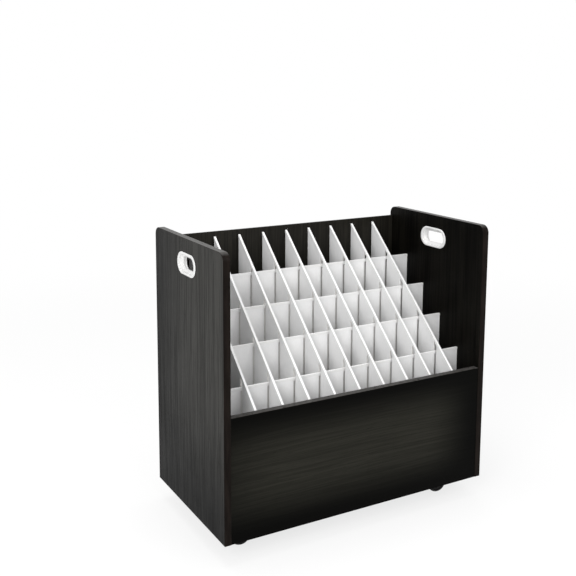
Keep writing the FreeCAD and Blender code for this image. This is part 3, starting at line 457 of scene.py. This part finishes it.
BLACK = {"dark": (0.0006, 0.0005, 0.0004), "light": (0.0052, 0.0047, 0.0036), "sheen": 0.04}
LAMINATES = {
    "base_panel": {"name": "laminate_base", "grain": "x", "face": "z", **BLACK},
    "right_side_panel": {"name": "laminate_right", "grain": "z", "face": "x", **BLACK},
    # Painted reflection: this copy of the black laminate is much lighter than BLACK inside its
    # patch, towards the front and top, and dark outside it.
    "left_side_panel": {
        "name": "laminate_left",
        "grain": "z",
        "face": "x",
        "dark": (0.0200, 0.0195, 0.0180),
        "light": (0.0365, 0.0356, 0.0328),
        "sheen": 0.045,
        "patch": (("z", 0.06, 0.40), ("y", 0.28, -0.08)),
        "outside": 0.08,
    },
    # Painted reflection: this copy of the black laminate is lighter than BLACK inside its patch
    # across the middle, and dark outside it.
    "front_panel": {
        "name": "laminate_front",
        "grain": "x",
        "face": "y",
        "dark": (0.0136, 0.0134, 0.0104),
        "light": (0.0198, 0.0192, 0.0152),
        "sheen": 0.03,
        "patch": (("z", 0.07, 0.18), ("z", 0.36, 0.25), ("x", 0.36, 0.19), ("x", -0.52, -0.22)),
        "outside": 0.06,
    },
    "back_panel": {
        "name": "laminate_back",
        "grain": "z",
        "face": "y",
        "dark": (0.0070, 0.0064, 0.0050),
        "light": (0.0150, 0.0136, 0.0106),
        "sheen": 0.09,
    },
}


def dress_case():
    for node, finish in LAMINATES.items():
        paint(laminate(**finish), node)


# The crate. The sloping caps rise this many degrees towards the back.

CAP_SLOPE = 42.8
CAP_ROUGHNESS = 0.32
CAP_WHITE = 0.72
CAP_RELIEF = 0.00003


def cap_plastic(name, grain, tilt=0.0):
    return white_plastic(name, CAP_WHITE, CAP_ROUGHNESS, grain, CAP_RELIEF, tilt)


def dress_crate():
    finishes = {
        "depth_divider": divider_board("board_depth", "x", 0.69),
        "row_divider": divider_board("board_row", "y", 0.74),
        "depth_divider_cap": cap_plastic("cap_sloping", (900, 12, 900), -CAP_SLOPE),
        "row_divider_cap": cap_plastic("cap_level", (12, 900, 900)),
    }
    for name in NODES:
        kind = name.rpartition("_")[0]
        if kind in finishes:
            paint(finishes[kind], name)


# The hand holds: moulded bushings with a crowned rim and a mouth that narrows to the middle of the
# panel, in place of the plain ones of the model. The middle (Y and Z) and the panel's faces (X) are
# in metres, the rest in millimetres. A row of the profile is the ring's reach past the clear
# opening at its ends and at its sides, and its height over the panel's face.

HOLD_MIDDLE = (0, 0.6805)
PANEL_FACES = {"outer": 0.384, "inner": 0.366}
HOLD_HALF_LENGTH = 42
HOLD_HALF_WIDTH = 19
HOLD_ARC_STEPS = 28
HOLD_STRAIGHT_STEPS = 10
GROMMET_CREASE = 50
GROMMET_PROFILE = (
    (2.0, 2.0, -8.9),
    (2.0, 2.0, -0.02),
    (10.2, 7.7, -0.02),
    (10.9, 8.4, 0.3),
    (11.0, 8.5, 0.9),
    (10.7, 8.2, 1.5),
    (10.0, 7.6, 2.05),
    (8.9, 6.8, 2.4),
    (7.0, 5.9, 2.5),
    (4.6, 4.6, 2.45),
    (3.2, 3.6, 2.2),
    (2.4, 2.9, 1.7),
    (2.0, 2.5, 0.9),
    (1.8, 2.2, -0.4),
    (1.6, 1.9, -2.2),
    (1.2, 1.4, -3.0),
    (-0.6, -0.8, -4.4),
    (-3.2, -3.4, -6.6),
    (-4.0, -4.2, -7.6),
    (-4.2, -4.4, -8.4),
    (-4.0, -4.2, -8.9),
)


def stadium(half_length, half_width):
    """Points round an oblong with full round ends, as pairs along its length and its width."""
    run = half_length - half_width
    points = []
    for end in (1, -1):
        for i in range(HOLD_ARC_STEPS):
            angle = math.pi * (i / HOLD_ARC_STEPS - 0.5)
            reach = run + half_width * math.cos(angle)
            points.append((end * reach, end * half_width * math.sin(angle)))
        for i in range(HOLD_STRAIGHT_STEPS):
            points.append((end * run * (1 - 2 * i / HOLD_STRAIGHT_STEPS), end * half_width))
    return points


def grommet_mesh(name, side, face):
    """A bushing's closed ring, pushed in from one face of a side panel."""
    mesh = bmesh.new()
    outwards = side if face == "outer" else -side
    middle_y, middle_z = HOLD_MIDDLE
    rings = []
    for past_end, past_side, height in GROMMET_PROFILE:
        x = side * PANEL_FACES[face] + outwards * height * MM
        ring = []
        for u, v in stadium(HOLD_HALF_LENGTH + past_end, HOLD_HALF_WIDTH + past_side):
            ring.append(mesh.verts.new((x, middle_y + u * MM, middle_z + v * MM)))
        rings.append(ring)
    for first, second in zip(rings, rings[1:] + rings[:1]):
        for i in range(len(first)):
            mesh.faces.new((first[i - 1], first[i], second[i], second[i - 1]))
    bmesh.ops.recalc_face_normals(mesh, faces=mesh.faces)
    return to_mesh(mesh, name)


def make_hand_holds():
    moulded = white_plastic("grommet_plastic", 0.66, 0.30, 650, 0.00002)
    for name, side in SIDES.items():
        for face in PANEL_FACES:
            node = f"{name}_grommet_{face}"
            ring = new_object(f"{node}_moulded", grommet_mesh(f"{node}_moulded", side, face))
            shade(ring, GROMMET_CREASE, moulded)
            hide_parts(node)
            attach(ring, "case")


# The casters. All their axles rest parallel, this many degrees round from the X axis.

AXLE_TURN = 75


def dress_casters():
    hood = black_nylon("hood_nylon", 0.0060, 0.50)
    wheel = black_nylon("wheel_nylon", 0.0050, 0.50, axle_turn=AXLE_TURN)
    plate = plated_steel("plate_zinc", 0.62, 0.36)
    axle = plated_steel("axle_steel", 0.58, 0.24)
    for caster in CASTERS:
        paint(hood, f"{caster}_hood")
        paint(wheel, f"{caster}_wheel_a", f"{caster}_wheel_b")
        paint(plate, f"{caster}_plate")
        paint(axle, f"{caster}_axle")
        if f"{caster}_brake_lever" in NODES:
            paint(hood, f"{caster}_brake_lever")


# The fasteners. The caster screws' pan heads have a cross recess, in place of the plain heads of
# the model. The profile is pairs of radius and height from under the head, in millimetres, and the
# head points down. The recess is two wedges, whose arms narrow to a share of their length.

SCREW_PROFILE = (
    (0, -2.2),
    (1.5, -2.1),
    (2.5, -1.8),
    (3.2, -1.3),
    (3.65, -0.7),
    (3.8, -0.3),
    (3.8, 0),
    (2, 0),
    (2, 11),
    (1.2, 13.2),
    (0, 14),
)
SCREW_SIDES = 32
SCREW_CREASE = 35
RECESS_HALF_WIDTH = 0.55
RECESS_HALF_LENGTH = 2.3
RECESS_MOUTH = -2.3
RECESS_DEPTH = 1.5
RECESS_OVERSHOOT = 0.5
RECESS_NARROWING = 0.35

# Where the screws sit on a plate, in metres, and how far each is turned, in radians: by its
# caster's place, and by its own corner.
SCREW_HALF_SPACING = 0.014
PLATE_BOTTOM = 0.061
SCREW_TURN_BY_PLACE = 7.0
SCREW_TURN_BY_CORNER = (0.5, 0.9)


def turned_mesh(name, profile, sides):
    """A solid of revolution about Z from pairs of radius and height in millimetres."""
    mesh = bmesh.new()
    rings = []
    for radius, height in profile:
        ring = []
        for i in range(sides if radius else 1):
            angle = 2 * math.pi * i / sides
            across = (radius * MM * math.cos(angle), radius * MM * math.sin(angle))
            ring.append(mesh.verts.new((*across, height * MM)))
        rings.append(ring)
    for first, second in zip(rings, rings[1:]):
        for i in range(sides):
            round_face = ((first, i), (first, i + 1), (second, i + 1), (second, i))
            corners = [ring[k % sides % len(ring)] for ring, k in round_face]
            mesh.faces.new(list(dict.fromkeys(corners)))
    bmesh.ops.recalc_face_normals(mesh, faces=mesh.faces)
    return to_mesh(mesh, name)


def cross_recess():
    """A cutter for the screw's recess: two crossed wedges that narrow inwards."""
    mesh = bmesh.new()
    for turn in (0, math.pi / 2):
        wedge = bmesh.ops.create_cube(mesh, size=2)["verts"]
        for vert in wedge:
            inside = vert.co.z > 0
            length = RECESS_HALF_LENGTH * MM * (RECESS_NARROWING if inside else 1)
            height = RECESS_MOUTH + (RECESS_DEPTH if inside else -RECESS_OVERSHOOT)
            vert.co = Vector((vert.co.x * length, vert.co.y * RECESS_HALF_WIDTH * MM, height * MM))
        bmesh.ops.rotate(mesh, verts=wedge, matrix=Matrix.Rotation(turn, 3, "Z"))
    return to_mesh(mesh, "cross_recess")


def recessed_screw():
    """One screw's mesh, with its recess cut."""
    blank = new_object("screw_blank", turned_mesh("screw_blank", SCREW_PROFILE, SCREW_SIDES))
    cutter = new_object("recess_cutter", cross_recess())
    boolean = blank.modifiers.new("recess", "BOOLEAN")
    boolean.object = cutter
    boolean.operation = "DIFFERENCE"
    boolean.solver = "EXACT"
    boolean.use_self = True
    bpy.context.view_layer.update()
    cut = blank.evaluated_get(bpy.context.evaluated_depsgraph_get())
    screw = bpy.data.meshes.new_from_object(cut)
    for helper in (blank, cutter):
        bpy.data.objects.remove(helper)
    return screw


def make_screws():
    screw = recessed_screw()
    by_x, by_y = SCREW_TURN_BY_CORNER
    joined = bmesh.new()
    for caster in CASTERS:
        low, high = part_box(f"{caster}_plate")
        middle_x, middle_y = [(a + b) / 2 for a, b in zip(low, high)][:2]
        for x_side, y_side in CORNERS:
            before = len(joined.verts)
            joined.from_mesh(screw)
            joined.verts.ensure_lookup_table()
            angle = SCREW_TURN_BY_PLACE * middle_x + x_side * by_x + y_side * by_y
            turn = Matrix.Rotation(angle, 4, "Z")
            x = middle_x + x_side * SCREW_HALF_SPACING
            y = middle_y + y_side * SCREW_HALF_SPACING
            for vert in joined.verts[before:]:
                vert.co = Vector((x, y, PLATE_BOTTOM)) + (turn @ vert.co)
    screws = new_object("caster_screws_recessed", to_mesh(joined, "caster_screws_recessed"))
    shade(screws, SCREW_CREASE, plated_steel("screw_zinc", 0.60, 0.30))
    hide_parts("caster_screws")
    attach(screws, "case")


def dress_fasteners():
    paint(plated_steel("fastener_zinc", 0.42, 0.38), "cam_locks", "cam_bolts")


# The studio: a pale floor that runs out into a white backdrop, and soft lamps. Where the floor is
# seen, plain white is mixed into it: by the lift near the object, and wholly beyond the fade.

FLOOR_HALF = 14.0
FLOOR_FADE = (0.9, 3.2)
FLOOR_LIFT = 0.76
FLOOR_DARK = grey(0.86)
FLOOR_LIGHT = grey(0.88)
WHITE = grey(1.0)
WORLD_FILL = 0.64

# Each lamp's name, place, aim, side in metres and power in watts.
LAMPS = (
    ("lamp_left", (-2.6, -2.0, 2.06), (0, 0, 0.5), 1.8, 76),
    ("lamp_front", (0.5, -3.0, 2.2), (0, 0, 0.45), 2.2, 34),
    ("lamp_top", (-0.3, 0.2, 3.0), (0, 0, 0.4), 2.0, 40),
)


def make_floor():
    mesh = bpy.data.meshes.new("floor")
    corners = [(x * FLOOR_HALF, y * FLOOR_HALF, 0) for x, y in CORNERS]
    mesh.from_pydata(corners, [], [(0, 1, 2, 3)])
    floor = new_object("floor", mesh)
    g = Finish("floor_white")
    colour = g.mix(g.noise(3), FLOOR_DARK, FLOOR_LIGHT)
    g.set(Base_Color=colour, Roughness=0.7, Specular_IOR_Level=0.1)
    white = g.add("ShaderNodeEmission", {"Color": WHITE, "Strength": 1.0})
    distance = g.add("ShaderNodeVectorMath", {0: g.place}, operation="LENGTH").outputs["Value"]
    lift = g.product(g.shown_rays(), g.fit(distance, *FLOOR_FADE, FLOOR_LIFT, 1.0))
    g.put(g.output.inputs["Surface"], g.mix_shader(lift, g.surface, white))
    mesh.materials.append(g.material)


def make_world():
    world = bpy.data.worlds.new("studio")
    bpy.context.scene.world = world
    world.use_nodes = True
    nodes = Nodes(world.node_tree)
    fill = nodes.add("ShaderNodeBackground", {"Color": WHITE, "Strength": WORLD_FILL})
    backdrop = nodes.add("ShaderNodeBackground", {"Color": WHITE, "Strength": 1.0})
    shown = nodes.mix_shader(nodes.shown_rays(), fill, backdrop)
    nodes.add("ShaderNodeOutputWorld", {"Surface": shown})


def make_lamps():
    for name, place, aim, side, watts in LAMPS:
        light = bpy.data.lights.new(name, "AREA")
        light.shape = "SQUARE"
        light.size = side
        light.energy = watts
        lamp = new_object(name, light)
        lamp.location = place
        lamp.rotation_euler = facing_from(place, aim)


make_camera()
dress_case()
dress_crate()
make_hand_holds()
dress_casters()
dress_fasteners()
make_screws()
make_floor()
make_world()
make_lamps()

bpy.context.scene.view_settings.view_transform = "Standard"
